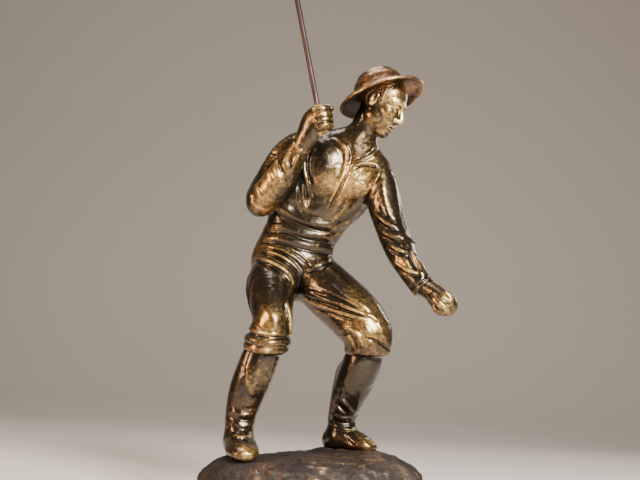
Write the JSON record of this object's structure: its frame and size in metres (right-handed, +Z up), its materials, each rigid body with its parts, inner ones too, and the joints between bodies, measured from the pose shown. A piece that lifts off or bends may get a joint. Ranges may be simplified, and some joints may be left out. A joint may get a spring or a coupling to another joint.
{
  "type": "figure trophy",
  "caption": "Cast metal trophy of a striding countryman in a brimmed hat with a lift-out pole in his raised fist, on a hollow cast rock base.",
  "frame": {"origin": "on the flat underside, under the middle of the rock base", "axes": "+X to the figure's left, -Y to the figure's front, +Z up"},
  "size_m": [0.1791, 0.1118, 0.4663],
  "materials": {
    "bronzed_casting": "dark bronze patina rubbed to gold on the high places, glossy",
    "rock_casting": "dull dark brown patina with a few rubbed specks",
    "grey_rod": "dull grey-brown, drawn",
    "zinc_steel": "zinc plated",
    "green_felt": "matt wool felt"
  },
  "bodies": {
    "figure": {"torso": "bronzed_casting", "breeches": "bronzed_casting", "head": "bronzed_casting", "hat": "bronzed_casting", "right_arm": "bronzed_casting", "left_arm": "bronzed_casting", "right_hand": "bronzed_casting", "left_hand": "bronzed_casting", "right_leg": "bronzed_casting", "left_leg": "bronzed_casting", "rock_base": "rock_casting", "felt_pad": "green_felt", "waist_sleeve": "zinc_steel", "neck_dowel": "zinc_steel", "right_shoulder_dowel": "zinc_steel", "left_shoulder_dowel": "zinc_steel", "right_wrist_dowel": "zinc_steel", "left_wrist_dowel": "zinc_steel", "right_knee_dowel": "zinc_steel", "left_knee_dowel": "zinc_steel", "right_foot_stud": "zinc_steel", "right_foot_washer": "zinc_steel", "right_foot_nut": "zinc_steel", "left_foot_stud": "zinc_steel", "left_foot_washer": "zinc_steel", "left_foot_nut": "zinc_steel"},
    "pole": {"pole": "grey_rod"}
  },
  "joints": [
    {"name": "pole_lift", "type": "slide", "parent": "figure", "child": "pole", "axis": [-0.2321, 0.1001, 0.9675], "range_m": [0, 0.03]}
  ]
}
